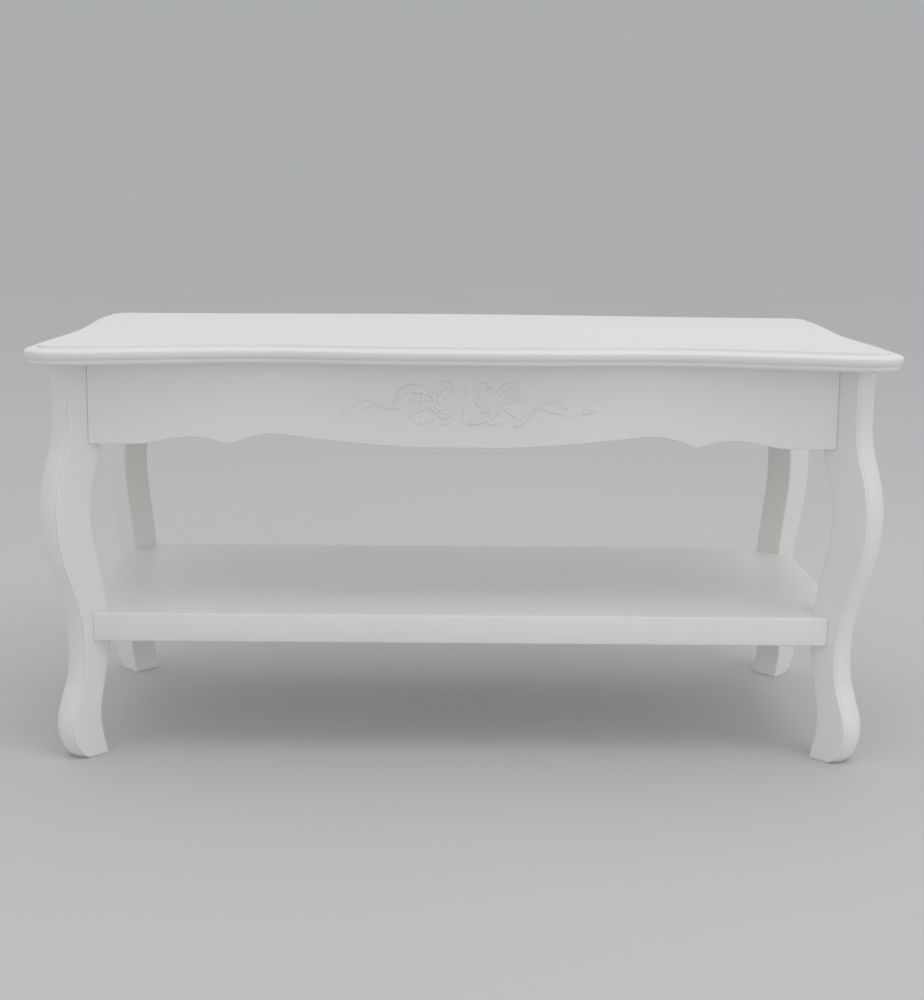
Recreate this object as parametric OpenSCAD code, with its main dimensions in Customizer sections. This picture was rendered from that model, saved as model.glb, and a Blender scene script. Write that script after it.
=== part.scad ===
// Low painted console table: serpentine top, shaped aprons, S-curved corner legs and a lower shelf.
// Origin: on the floor, under the middle of the top. +X to the right, -Y to the front, +Z up.

/* [Overall] */
// Overall width of the top, left to right
top_w = 800; // [720:10:1000]
// Overall depth of the top, front to back
top_d = 420; // [400:5:480]
// Overall height, floor to top
table_h = 400; // [380:5:450]

/* [Top] */
// Thickness of the top board
top_t = 18; // [16:1:25]
// Corner radius of the top in plan
corner_r = 30; // [20:1:40]
// How far the two hollows of the front edge lie behind its corners
front_hollow = 31; // [0:1:36]
// How far the middle of the front edge lies behind its corners
front_middle = 21; // [0:1:36]
// How far the middle of the back edge stands out behind its corners
back_bow = 20; // [0:1:30]
// How far each side edge is waisted at its middle
side_waist = 8; // [0:1:15]
// How far the raised field of the top is set in from the nose of the moulding
field_inset = 12; // [8:1:16]
// Height of the small step between field and moulding
field_step = 1; // [0.5:0.5:2]
// How far the underside of the moulding is set in from the nose
under_inset = 6; // [4:1:16]
// Height of the set-in band under the moulding
under_h = 6; // [3:1:8]

/* [Frame] */
// Width over the side aprons and the shelf
frame_w = 742; // [680:2:780]
// Depth over the front and back aprons and the shelf
frame_d = 296; // [280:2:330]
// Thickness of the aprons
apron_t = 18; // [15:1:20]
// Height of the aprons at the middle of the front
apron_h = 79; // [70:1:90]

/* [Legs] */
// Thickness of the leg plank
leg_t = 30; // [26:1:34]
// Distance of the leg's inner face from the outer corner of the frame, along X and along Y
leg_inset = 21.6; // [20:0.2:23]

/* [Shelf] */
// Thickness of the shelf board
shelf_t = 28; // [22:1:32]
// Height of the shelf's upper face above the floor
shelf_z = 142.5; // [136:0.5:150]

/* [Corner blocks] */
// Distance of the block's inner face from the leg's reference plane, along the diagonal
block_depth = 35; // [30:1:40]
// Height of the corner blocks
block_h = 60; // [54:1:62]

/* [Fasteners] */
// Thread diameter of the hanger bolts
bolt_d = 8; // [6:1:8]
// Length of the hanger bolts
bolt_len = 75; // [70:1:80]
// Distance between the two hanger bolts of a leg
bolt_pitch = 32; // [24:1:36]
// Diameter of the wood screws' shank
screw_d = 4; // [3:0.5:4.5]
// Diameter of the shelf dowels
dowel_d = 8; // [6:1:10]
// Diameter of the cam locks
cam_d = 15; // [12:1:16]

/* [Hidden] */

$fn = 48;
paint = "#dcdcda";
raw_wood = "#c9ab80";
zinc = "#b4b7bb";

// Heights
leg_h = table_h - top_t;
apron_top = leg_h;
shelf_low = shelf_z - shelf_t;

// The frame stands forward of the middle of the top, because the top overhangs it more at the back
frame_y = -back_bow / 2;
half_w = frame_w / 2;
half_d = frame_d / 2;
leg_x = half_w - leg_inset;
leg_y = half_d - leg_inset;

// A leg's side faces run at 45 degrees; this is |x| - |y| on the faces that the front and side aprons meet
front_miter = leg_x - leg_y - leg_t / sqrt(2);
side_miter = leg_x - leg_y + leg_t / sqrt(2);

// Where the four corners lie, in signs of x and y
FRONT_LEFT = [-1, -1];
FRONT_RIGHT = [1, -1];
BACK_LEFT = [-1, 1];
BACK_RIGHT = [1, 1];
CORNERS = [FRONT_LEFT, FRONT_RIGHT, BACK_LEFT, BACK_RIGHT];

// Leg profile in the diagonal plane: [height as a share of the leg, distance from the reference plane]
LEG_OUTER = [[0, 29], [0.012, 34], [0.03, 38.4], [0.055, 41.6], [0.08, 42.2], [0.11, 40.6], [0.15, 35.8],
    [0.2, 29.8], [0.26, 27.4], [0.32, 28.4], [0.38, 32.4], [0.45, 40.8], [0.51, 48.4], [0.57, 53],
    [0.63, 54.5], [0.68, 53], [0.73, 48.8], [0.785, 42.6], [0.83, 39.4], [0.88, 38.8], [1, 38.8]];
LEG_INNER = [[0, 0], [0.05, 4.6], [0.08, 6.6], [0.105, 7.1], [0.14, 6.1], [0.19, 2.3], [0.24, -1.6],
    [0.29, -3.9], [0.34, -3.4], [0.4, -0.8], [0.45, 2.6], [0.5, 6.6], [0.55, 10.8], [0.6, 13.3],
    [0.63, 13.7], [0.67, 12.4], [0.71, 9.2], [0.75, 4.5], [0.79, 0.8], [0.83, -1.8], [0.86, -2.2],
    [1, -2.2]];
leg_steps = 72;
block_face = LEG_INNER[len(LEG_INNER) - 1][1];
// Local distance at which an apron's inner face meets the leg's side face
neck_d = (leg_inset - apron_t) * sqrt(2) - leg_t / 2;

// Lower edge of the front and back aprons: [distance from the middle as a share of half the length,
// height above the lowest line]; the two curves meet in a small downward point
APRON_BELLY = [[0, 0], [0.13, 0.3], [0.28, 3.6], [0.42, 8.6], [0.51, 11.8], [0.57, 8.5], [0.624, 1.8]];
APRON_HUMP = [[0.624, 1.8], [0.68, 6.8], [0.72, 8.4], [0.775, 7.0], [0.83, 3.2], [0.87, 1.6], [1, 1.5]];
cusp = 0.624;
// Rise of the side aprons' arch, and the share of the length that it spans
side_arch = 12;
side_arch_span = 0.8;

// Fastener details
clearance = 0.1;
bolt_hole_r = bolt_d / 2 + 0.5;
washer_t = 1.6;
washer_r = bolt_d * 1.25;
nut_h = bolt_d * 0.8;
nut_flats = bolt_d * 1.625;
bolt_proud = 5;
bore_gap = 0.05;
bolt_start = -block_depth - washer_t - nut_h - bolt_proud;
block_gap = 3;
block_z = apron_top - block_gap - block_h;
bolt_zs = [block_z + block_h / 2 - bolt_pitch / 2, block_z + block_h / 2 + bolt_pitch / 2];
screw_head_r = screw_d;
screw_head_h = 2.4;
screw_flat_r = screw_head_r * 0.7;
screw_rim = 0.4;
screw_len = 25;
screw_grip = 11;
screw_from_neck = 20;
screw_margin = 9;
screw_zs = [block_z + screw_margin, block_z + block_h - screw_margin];
bracket_w = 30;
bracket_arm = 24;
bracket_t = 2;
bracket_hole_at = bracket_arm * 0.6;
bracket_screw_len = 15;
bracket_head_h = 2.2;
cam_depth = 13;
cam_setback = 34;
cam_bolt_r = 3;
cam_bolt_in_leg = 11.5;
cam_slot = [10.5, 1.6, 2];
dowel_len = 32;
dowel_side = 8.5;
shelf_mid = shelf_z - shelf_t / 2;

// Smooth curve through knots [x, y]: cubic pieces whose slopes are set by the neighbouring knots
function last(k) = len(k) - 1;
function slope(k, i) = let (a = max(i - 1, 0), b = min(i + 1, last(k)))
    (k[b][1] - k[a][1]) / (k[b][0] - k[a][0]);
function piece(k, x) = max([for (j = [0 : last(k) - 1]) if (j == 0 || x >= k[j][0]) j]);
function hermite(a, b, ma, mb, h, t) = (2 * t * t * t - 3 * t * t + 1) * a
    + (t * t * t - 2 * t * t + t) * h * ma
    + (3 * t * t - 2 * t * t * t) * b
    + (t * t * t - t * t) * h * mb;
function curve_at(k, x) = let (i = piece(k, x), h = k[i + 1][0] - k[i][0], t = (x - k[i][0]) / h)
    hermite(k[i][1], k[i + 1][1], slope(k, i), slope(k, i + 1), h, t);

// Front edge of the top: how far it lies behind the corners, from the middle (0) to the corner (1)
front_quarter = front_middle + (front_hollow - front_middle) * 0.3;
FRONT_EDGE = [[0, front_middle], [0.10, front_middle], [0.25, front_quarter], [0.45, front_hollow],
    [0.62, front_hollow * 0.84], [0.80, front_hollow * 0.42], [0.93, front_hollow * 0.06], [1, 0]];

// Plan outline of the top, counter-clockwise from the front left corner
straight_x = top_w / 2 - corner_r;
back_corner_y = top_d / 2 - back_bow;
function front_y(x) = -top_d / 2 + curve_at(FRONT_EDGE, abs(x) / straight_x);
function back_y(x) = back_corner_y + back_bow * (1 + cos(180 * x / straight_x)) / 2;
function side_x(t) = top_w / 2 - side_waist * (1 - cos(360 * t)) / 2;
function arc(cx, cy, from) = [for (a = [from + 10 : 10 : from + 80])
    [cx + corner_r * cos(a), cy + corner_r * sin(a)]];
side_y0 = -top_d / 2 + corner_r;
side_y1 = back_corner_y - corner_r;
edge_steps = 40;
side_steps = 16;
PLAN = concat(
    [for (i = [0 : edge_steps]) let (x = straight_x * (2 * i / edge_steps - 1)) [x, front_y(x)]],
    arc(straight_x, side_y0, -90),
    [for (i = [0 : side_steps]) let (t = i / side_steps) [side_x(t), side_y0 + (side_y1 - side_y0) * t]],
    arc(straight_x, side_y1, 0),
    [for (i = [0 : edge_steps]) let (x = straight_x * (1 - 2 * i / edge_steps)) [x, back_y(x)]],
    arc(-straight_x, side_y1, 90),
    [for (i = [0 : side_steps]) let (t = 1 - i / side_steps)
        [-side_x(t), side_y0 + (side_y1 - side_y0) * t]],
    arc(-straight_x, side_y0, 180));

// The same outline set in by a distance, each point moved along its own normal
function inward(p, q) = let (d = q - p) [-d[1], d[0]] / norm(d);
function set_in(pts, by) = let (n = len(pts))
    [for (i = [0 : n - 1]) pts[i] + by * inward(pts[(i + n - 1) % n], pts[(i + 1) % n])];

// Leg outline: up the outer face and down the inner face
LEG_OUTLINE = concat(
    [for (i = [0 : leg_steps]) let (s = pow(i / leg_steps, 1.15)) [curve_at(LEG_OUTER, s), s * leg_h]],
    [for (i = [0 : leg_steps]) let (s = 1 - i / leg_steps) [curve_at(LEG_INNER, s), s * leg_h]]);

// Local frame of a corner: +X points outwards along the diagonal, origin at the leg's reference plane
module at_corner(c) {
    translate([c[0] * leg_x, c[1] * leg_y + frame_y, 0])
        rotate([0, 0, atan2(c[1], c[0])])
            children();
}

// A bar along the local +X of a corner, from one distance to another
module bar(from, to, r, z, side = 0) {
    translate([from, side, z])
        rotate([0, 90, 0])
            cylinder(h = to - from, r = r);
}

module tabletop() {
    color(paint)
        difference() {
            union() {
                translate([0, 0, table_h - top_t])
                    linear_extrude(under_h)
                        polygon(set_in(PLAN, under_inset));
                translate([0, 0, table_h - top_t + under_h])
                    linear_extrude(top_t - under_h - field_step)
                        polygon(PLAN);
                translate([0, 0, table_h - field_step])
                    linear_extrude(field_step)
                        polygon(set_in(PLAN, field_inset));
            }
            each_top_bracket()
                translate([bracket_hole_at, 0, -bracket_t])
                    cylinder(h = bracket_screw_len + clearance, r = screw_d / 2 + clearance);
        }
}

// One leg in its local frame, with the housing for the shelf's corner and the holes for its fasteners
module leg(c) {
    color(paint)
        at_corner(c)
            difference() {
                rotate([90, 0, 0])
                    linear_extrude(leg_t, center = true)
                        polygon(LEG_OUTLINE);
                translate([-leg_t, -leg_t, shelf_low])
                    cube([leg_t, 2 * leg_t, shelf_t]);
                for (z = bolt_zs)
                    bar(block_face - 1, bolt_start + bolt_len + clearance, bolt_d / 2 + clearance, z);
                bar(-1, cam_bolt_in_leg + clearance, cam_bolt_r + clearance, shelf_mid);
                for (s = [-1, 1])
                    bar(-1, dowel_len / 2 + clearance, dowel_d / 2 + clearance, shelf_mid, s * dowel_side);
            }
}

// Plan of a front or back apron: a board whose ends lie against the legs' side faces
module apron_plan(half, miter) {
    linear_extrude(table_h)
        polygon([[-half - miter, half], [half + miter, half],
            [half - apron_t + miter, half - apron_t], [-half + apron_t - miter, half - apron_t]]);
}

// Elevation of the long aprons, with a belly, two humps and a small point on each side
module long_elevation(len) {
    low = apron_top - apron_h;
    right = [for (i = [0 : 60]) let (s = i / 60)
        [s * len, low + (s < cusp ? curve_at(APRON_BELLY, s) : curve_at(APRON_HUMP, s))]];
    left = [for (i = [60 : -1 : 1]) [-right[i][0], right[i][1]]];
    polygon(concat(left, right, [[len, apron_top], [-len, apron_top]]));
}

// Elevation of the short aprons, with one shallow arch
module short_elevation(len) {
    low = apron_top - apron_h + APRON_HUMP[last(APRON_HUMP)][1];
    arch = [for (i = [-24 : 24]) let (s = i / 24)
        [s * len, low + side_arch * pow(cos(90 * min(abs(s) / side_arch_span, 1)), 2)]];
    polygon(concat(arch, [[len, apron_top], [-len, apron_top]]));
}

module long_apron() {
    length = half_d + front_miter;
    intersection() {
        rotate([90, 0, 0])
            linear_extrude(2 * half_d, center = true)
                long_elevation(length);
        apron_plan(half_d, front_miter);
    }
}

module short_apron() {
    length = half_w - side_miter;
    intersection() {
        rotate([90, 0, 0])
            linear_extrude(2 * half_w, center = true)
                short_elevation(length);
        apron_plan(half_w, -side_miter);
    }
}

// Aprons: each is drawn at the back, facing +Y, and turned to its side
module apron(turn, long) {
    color(paint)
        difference() {
            translate([0, frame_y, 0])
                rotate([0, 0, turn])
                    if (long) long_apron(); else short_apron();
            for (c = CORNERS)
                block_screw_places(c)
                    cylinder(h = screw_len + clearance, r = screw_d / 2 + clearance);
            each_top_bracket()
                translate([-bracket_screw_len, 0, -bracket_hole_at])
                    rotate([0, 90, 0])
                        cylinder(h = bracket_screw_len + 1, r = screw_d / 2 + clearance);
        }
}

// Shelf: a board with a notch at each corner that fits round the leg
module shelf() {
    side = leg_t / 2 / sqrt(2);
    quarter = [[half_d + front_miter, half_d], [leg_x - side, leg_y + side],
        [leg_x + side, leg_y - side], [half_w, half_w - side_miter]];
    color(paint)
        difference() {
            translate([0, frame_y, shelf_low])
                linear_extrude(shelf_t)
                    polygon(concat(
                        [for (p = quarter) p],
                        [for (i = [3 : -1 : 0]) [quarter[i][0], -quarter[i][1]]],
                        [for (p = quarter) -p],
                        [for (i = [3 : -1 : 0]) [-quarter[i][0], quarter[i][1]]]));
            for (c = CORNERS)
                at_corner(c) {
                    bar(-cam_setback, 1, cam_bolt_r + clearance, shelf_mid);
                    for (s = [-1, 1])
                        bar(-dowel_len / 2 - clearance, 1, dowel_d / 2 + clearance, shelf_mid,
                            s * dowel_side);
                    translate([-cam_setback, 0, shelf_low - 1])
                        cylinder(h = 1 + shelf_t / 2 + cam_depth / 2 + clearance,
                            r = cam_d / 2 + clearance);
                }
        }
}

// Corner block: glued and screwed between two aprons, with the leg drawn against its outer face
module corner_block(c) {
    flare = block_depth + neck_d;
    color(raw_wood)
        difference() {
            at_corner(c)
                translate([0, 0, block_z])
                    linear_extrude(block_h)
                        polygon([[block_face, -leg_t / 2], [block_face, leg_t / 2],
                            [neck_d, leg_t / 2], [-block_depth, leg_t / 2 + flare],
                            [-block_depth, -leg_t / 2 - flare], [neck_d, -leg_t / 2]]);
            at_corner(c)
                for (z = bolt_zs)
                    bar(-block_depth - 1, block_face + 1, bolt_hole_r, z);
            block_screw_places(c) {
                cylinder(h = screw_len, r = screw_d / 2 + clearance);
                translate([0, 0, -screw_len])
                    cylinder(h = screw_len, r = screw_head_r + 1);
            }
        }
}

// Screws through a corner block into the two aprons: children are drawn along +Z, from the seat of the head
module block_screw_places(c) {
    along = screw_from_neck / sqrt(2);
    for (z = screw_zs)
        for (s = [-1, 1])
            at_corner(c)
                translate([neck_d - along, s * (leg_t / 2 + along), z])
                    rotate([0, 0, s * 45])
                        translate([-screw_grip, 0, 0])
                            rotate([0, 90, 0])
                                children();
}

// Wood screw along +Z: pan head at the origin, pointed tip at the end
module wood_screw(length, head_h) {
    rotate_extrude()
        polygon([[0, -head_h], [screw_flat_r, -head_h], [screw_head_r, -head_h * screw_rim],
            [screw_head_r, 0], [screw_d / 2, 0], [screw_d / 2, length - screw_d], [0, length]]);
}

module corner_block_screws() {
    color(zinc)
        for (c = CORNERS)
            block_screw_places(c)
                wood_screw(screw_len, screw_head_h);
}

// Hanger bolts: wood thread in the leg, machine thread through the block
module hanger_bolts() {
    color(zinc)
        for (c = CORNERS)
            for (z = bolt_zs)
                at_corner(c)
                    translate([bolt_start, 0, z])
                        rotate([0, 90, 0])
                            rotate_extrude()
                                polygon([[0, 0], [bolt_d / 2 - 1, 0], [bolt_d / 2, 1],
                                    [bolt_d / 2, bolt_len - bolt_d], [0, bolt_len]]);
}

module hanger_washers() {
    color(zinc)
        for (c = CORNERS)
            for (z = bolt_zs)
                at_corner(c)
                    difference() {
                        bar(-block_depth - washer_t, -block_depth, washer_r, z);
                        bar(-block_depth - washer_t - 1, -block_depth + 1, bolt_d / 2 + 0.2, z);
                    }
}

module hanger_nuts() {
    color(zinc)
        for (c = CORNERS)
            for (z = bolt_zs)
                at_corner(c)
                    translate([-block_depth - washer_t - nut_h, 0, z])
                        rotate([0, 90, 0])
                            difference() {
                                cylinder(h = nut_h, r = nut_flats / sqrt(3), $fn = 6);
                                translate([0, 0, -1])
                                    cylinder(h = nut_h + 2, r = bolt_d / 2 + bore_gap);
                            }
}

// Places of the top brackets: local +X points inwards from the apron's inner face, +Z up, origin under
// the top; on the long aprons they stand at this share of half the length from the middle
bracket_share = 0.62;
bracket_x = half_w * bracket_share;
BRACKETS = [[-bracket_x, -half_d + apron_t, 90], [bracket_x, -half_d + apron_t, 90],
    [-bracket_x, half_d - apron_t, -90], [bracket_x, half_d - apron_t, -90],
    [-half_w + apron_t, 0, 0], [half_w - apron_t, 0, 180]];
module each_top_bracket() {
    for (b = BRACKETS)
        translate([b[0], b[1] + frame_y, apron_top])
            rotate([0, 0, b[2]])
                children();
}

module top_brackets() {
    hole_r = screw_d / 2 + 0.25;
    color(zinc)
        each_top_bracket()
            difference() {
                union() {
                    translate([0, -bracket_w / 2, -bracket_t])
                        cube([bracket_arm, bracket_w, bracket_t]);
                    translate([0, -bracket_w / 2, -bracket_arm])
                        cube([bracket_t, bracket_w, bracket_arm]);
                }
                translate([bracket_hole_at, 0, -bracket_t - 1])
                    cylinder(h = bracket_t + 2, r = hole_r);
                translate([-1, 0, -bracket_hole_at])
                    rotate([0, 90, 0])
                        cylinder(h = bracket_t + 2, r = hole_r);
            }
}

module top_bracket_screws() {
    color(zinc)
        each_top_bracket() {
            translate([bracket_hole_at, 0, -bracket_t])
                wood_screw(bracket_screw_len, bracket_head_h);
            translate([bracket_t, 0, -bracket_hole_at])
                rotate([0, -90, 0])
                    wood_screw(bracket_screw_len, bracket_head_h);
        }
}

module shelf_dowels() {
    color(raw_wood)
        for (c = CORNERS)
            at_corner(c)
                for (s = [-1, 1])
                    bar(-dowel_len / 2, dowel_len / 2, dowel_d / 2, shelf_mid, s * dowel_side);
}

// Cam bolts: screwed into the leg, with the neck reaching into the cam lock
module shelf_cam_bolts() {
    color(zinc)
        for (c = CORNERS)
            at_corner(c)
                bar(-cam_setback + cam_d / 2, cam_bolt_in_leg, cam_bolt_r, shelf_mid);
}

module shelf_cam_locks() {
    color(zinc)
        for (c = CORNERS)
            at_corner(c)
                translate([-cam_setback, 0, shelf_low])
                    difference() {
                        cylinder(h = shelf_t / 2 + cam_depth / 2, r = cam_d / 2);
                        translate([-cam_slot[0] / 2, -cam_slot[1] / 2, -1])
                            cube(cam_slot + [0, 0, 1]);
                    }
}

tabletop();
apron(180, true);  // apron_front
apron(0, true);  // apron_back
apron(90, false);  // apron_left
apron(-90, false);  // apron_right
leg(FRONT_LEFT);  // leg_front_left
leg(FRONT_RIGHT);  // leg_front_right
leg(BACK_LEFT);  // leg_back_left
leg(BACK_RIGHT);  // leg_back_right
shelf();
corner_block(FRONT_LEFT);  // corner_block_front_left
corner_block(FRONT_RIGHT);  // corner_block_front_right
corner_block(BACK_LEFT);  // corner_block_back_left
corner_block(BACK_RIGHT);  // corner_block_back_right
corner_block_screws();
hanger_bolts();
hanger_washers();
hanger_nuts();
top_brackets();
top_bracket_screws();
shelf_dowels();
shelf_cam_bolts();
shelf_cam_locks();
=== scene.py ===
"""Looks of the low painted console table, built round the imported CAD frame.

A part is (vertices, faces) in millimetres until mesh_piece or stage makes it an object in metres.
"""
import math

import bmesh
import bpy
import numpy as np
from mathutils import Matrix, Vector


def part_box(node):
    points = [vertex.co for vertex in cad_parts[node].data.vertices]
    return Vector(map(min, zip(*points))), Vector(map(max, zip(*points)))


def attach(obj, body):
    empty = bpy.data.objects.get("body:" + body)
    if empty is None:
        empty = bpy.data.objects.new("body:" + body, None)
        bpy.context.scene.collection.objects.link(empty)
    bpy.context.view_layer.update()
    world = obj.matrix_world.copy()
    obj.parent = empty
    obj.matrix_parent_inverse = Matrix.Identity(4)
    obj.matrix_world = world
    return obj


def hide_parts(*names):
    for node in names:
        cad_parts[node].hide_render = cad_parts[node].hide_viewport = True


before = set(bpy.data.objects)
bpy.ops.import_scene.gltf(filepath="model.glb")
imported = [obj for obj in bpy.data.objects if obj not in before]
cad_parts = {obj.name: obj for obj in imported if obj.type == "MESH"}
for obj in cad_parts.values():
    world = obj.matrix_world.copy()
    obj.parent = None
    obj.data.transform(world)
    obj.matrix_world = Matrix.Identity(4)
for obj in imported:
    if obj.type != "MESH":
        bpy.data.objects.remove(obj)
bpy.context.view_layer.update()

MM = 0.001
BODY = "root"


def node_box(node):
    """Lowest and highest corner of a CAD node in millimetres."""
    low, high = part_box(node)
    return np.array(low) / MM, np.array(high) / MM


# ---------------------------------------------------------------- sizes read from the frame
top_low, top_high = node_box("tabletop")
shelf_low, shelf_high = node_box("shelf")
front_low, front_high = node_box("apron_front")
side_low, side_high = node_box("apron_right")
block_low, block_high = node_box("corner_block_front_right")
LEG_H = top_low[2]
TOP_Z = top_high[2]
TOP_T = TOP_Z - LEG_H
# The frame of aprons and legs: its middle in y, and half its width and depth
FRAME_Y = (shelf_low[1] + shelf_high[1]) / 2
HALF_W = (shelf_high[0] - shelf_low[0]) / 2
HALF_D = (shelf_high[1] - shelf_low[1]) / 2
# Half the lengths of the long and the short aprons, and the lowest line of them all
LONG_END = front_high[0]
SHORT_END = (side_high[1] - side_low[1]) / 2
APRON_LOW = front_low[2]

# ---------------------------------------------------------------- sizes shared with the CAD source
LEG_T = 30.0
APRON_T = 18.0
# Distance of a leg's reference plane from the outer corner of the frame, along X and along Y
LEG_INSET = 21.6
LEG_X = HALF_W - LEG_INSET
LEG_Y = HALF_D - LEG_INSET
# Place on the diagonal where an apron's inner face meets the leg's side face
NECK_D = (LEG_INSET - APRON_T) * math.sqrt(2) - LEG_T / 2
# From a leg's reference plane to the corner block's inner face, and to the cam lock's axis
BLOCK_DEPTH = 35.0
CAM_SETBACK = 34.0
CORNERS = {"front_left": (-1, -1), "front_right": (1, -1), "back_left": (-1, 1), "back_right": (1, 1)}

# Leg profile in the diagonal plane: [height as a share of the leg, distance from the reference plane]
LEG_OUTER = [[0, 29], [0.012, 34], [0.03, 38.4], [0.055, 41.6], [0.08, 42.2], [0.11, 40.6], [0.15, 35.8],
    [0.2, 29.8], [0.26, 27.4], [0.32, 28.4], [0.38, 32.4], [0.45, 40.8], [0.51, 48.4], [0.57, 53],
    [0.63, 54.5], [0.68, 53], [0.73, 48.8], [0.785, 42.6], [0.83, 39.4], [0.88, 38.8], [1, 38.8]]
LEG_INNER = [[0, 0], [0.05, 4.6], [0.08, 6.6], [0.105, 7.1], [0.14, 6.1], [0.19, 2.3], [0.24, -1.6],
    [0.29, -3.9], [0.34, -3.4], [0.4, -0.8], [0.45, 2.6], [0.5, 6.6], [0.55, 10.8], [0.6, 13.3],
    [0.63, 13.7], [0.67, 12.4], [0.71, 9.2], [0.75, 4.5], [0.79, 0.8], [0.83, -1.8], [0.86, -2.2],
    [1, -2.2]]
# Lower edge of the long aprons: [share of half the length, height above the lowest line]
APRON_BELLY = [[0, 0], [0.13, 0.3], [0.28, 3.6], [0.42, 8.6], [0.51, 11.8], [0.57, 8.5], [0.624, 1.8]]
APRON_HUMP = [[0.624, 1.8], [0.68, 6.8], [0.72, 8.4], [0.775, 7.0], [0.83, 3.2], [0.87, 1.6], [1, 1.5]]
CUSP = 0.624
# Front edge of the top: [share of the way from the middle to the corner, distance behind the corners]
FRONT_EDGE = [[0, 21], [0.10, 21], [0.25, 24], [0.45, 31], [0.62, 26.04], [0.80, 13.02], [0.93, 1.86],
    [1, 0]]
CORNER_R = 30.0
BACK_BOW = 20.0
SIDE_WAIST = 8.0


# ---------------------------------------------------------------- curves and meshes
def curve(knots, x):
    """Cubic pieces through the knots, whose slopes are set by the neighbouring knots."""
    k = np.array(knots, float)
    n = len(k)
    before, after = np.maximum(np.arange(n) - 1, 0), np.minimum(np.arange(n) + 1, n - 1)
    slope = (k[after, 1] - k[before, 1]) / (k[after, 0] - k[before, 0])
    x = np.asarray(x, float)
    i = np.clip(np.searchsorted(k[:, 0], x, side="right") - 1, 0, n - 2)
    h = k[i + 1, 0] - k[i, 0]
    t = (x - k[i, 0]) / h
    return ((2 * t**3 - 3 * t**2 + 1) * k[i, 1] + (t**3 - 2 * t**2 + t) * h * slope[i]
        + (3 * t**2 - 2 * t**3) * k[i + 1, 1] + (t**3 - t**2) * h * slope[i + 1])


def bezier(start, control, end, count):
    """Points of a curve with one control point, both ends included."""
    t = np.linspace(0, 1, count)[:, None]
    return (1 - t) ** 2 * np.array(start) + 2 * t * (1 - t) * np.array(control) + t**2 * np.array(end)


def circle(radius, around):
    """Points [x, y] round the origin."""
    a = np.linspace(0, 2 * np.pi, around, endpoint=False)
    return np.column_stack([np.cos(a), np.sin(a)]) * radius


def level(outline, z):
    """An outline of [x, y] points as a ring at height z."""
    return np.column_stack([outline, np.full(len(outline), z)])


def spaced(start, stop, step):
    """Evenly spaced values, about step apart, both ends included."""
    return np.linspace(start, stop, max(2, int(round((stop - start) / step)) + 1))


def loft(rings, caps=True):
    """Faces between closed rings of the same number of points. rings is (ring, point, xyz)."""
    rings = np.asarray(rings, float)
    count, size = rings.shape[:2]
    faces = []
    for r in range(count - 1):
        a, b = r * size, (r + 1) * size
        for p in range(size):
            q = (p + 1) % size
            faces.append((a + p, a + q, b + q, b + p))
    if caps:
        faces.append(tuple(range(size - 1, -1, -1)))
        faces.append(tuple(range((count - 1) * size, count * size)))
    return rings.reshape(-1, 3), faces


def revolve(profile, around, caps=True):
    """Rings round Z of [radius, height] points. A radius may be a function of the angle."""
    a = np.linspace(0, 2 * np.pi, around, endpoint=False)
    rings = []
    for radius, z in profile:
        r = radius(a) if callable(radius) else np.full(around, float(radius))
        rings.append(np.stack([r * np.cos(a), r * np.sin(a), np.full(around, float(z))], 1))
    return loft(rings, caps)


def filled(loops, z):
    """A flat face at z bounded by the first loop of [x, y] points, with the other loops as holes."""
    bm = bmesh.new()
    edges = []
    for loop in loops:
        ring = [bm.verts.new((x, y, z)) for x, y in loop]
        edges += [bm.edges.new((ring[i - 1], ring[i])) for i in range(len(ring))]
    bmesh.ops.triangle_fill(bm, use_beauty=True, edges=edges)
    bm.verts.index_update()
    verts = np.array([v.co[:] for v in bm.verts])
    faces = [tuple(v.index for v in f.verts) for f in bm.faces]
    bm.free()
    return verts, faces


def together(parts):
    """One part from several."""
    verts, faces, start = [], [], 0
    for v, f in parts:
        verts.append(np.asarray(v, float))
        faces.extend(tuple(i + start for i in face) for face in f)
        start += len(v)
    return np.concatenate(verts), faces


def placed(part, places):
    """Copies of a part, one for each 4x4 matrix."""
    verts, faces = part
    return together([(verts @ m[:3, :3].T + m[:3, 3], faces) for m in places])


def move(x, y, z):
    """Matrix that shifts."""
    m = np.eye(4)
    m[:3, 3] = [x, y, z]
    return m


def turn(axis, degrees):
    """Matrix that turns round an axis through the origin."""
    return np.array(Matrix.Rotation(math.radians(degrees), 4, axis))


def at_corner(corner):
    """Local frame of a corner: +X outwards along the diagonal, origin at the leg's reference plane."""
    sx, sy = corner
    return move(sx * LEG_X, sy * LEG_Y + FRAME_Y, 0) @ turn("Z", math.degrees(math.atan2(sy, sx)))


# ---------------------------------------------------------------- pieces
def linked_object(name, data):
    """A new object in the scene."""
    ob = bpy.data.objects.new(name, data)
    bpy.context.scene.collection.objects.link(ob)
    return ob


def mesh_piece(name, part, material, slot, node, sharp=34.0):
    """A new piece that rides on the table's body and stands for a CAD node.

    Edges that bend by more than sharp degrees aren't shaded smooth.
    """
    verts, faces = part
    mesh = bpy.data.meshes.new(name)
    mesh.from_pydata((np.asarray(verts) * MM).tolist(), [], faces)
    bm = bmesh.new()
    bm.from_mesh(mesh)
    bmesh.ops.remove_doubles(bm, verts=bm.verts, dist=1e-7)
    bmesh.ops.recalc_face_normals(bm, faces=bm.faces)
    bm.to_mesh(mesh)
    bm.free()
    mesh.shade_smooth()
    mesh.set_sharp_from_angle(angle=math.radians(sharp))
    mesh.materials.append(material)
    piece = linked_object(name, mesh)
    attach(piece, BODY)
    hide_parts(node)


def painted_piece(name, part, node, **settings):
    """A piece of the painted woodwork."""
    mesh_piece(name, part, PAINT, "white_paint", node, **settings)


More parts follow.
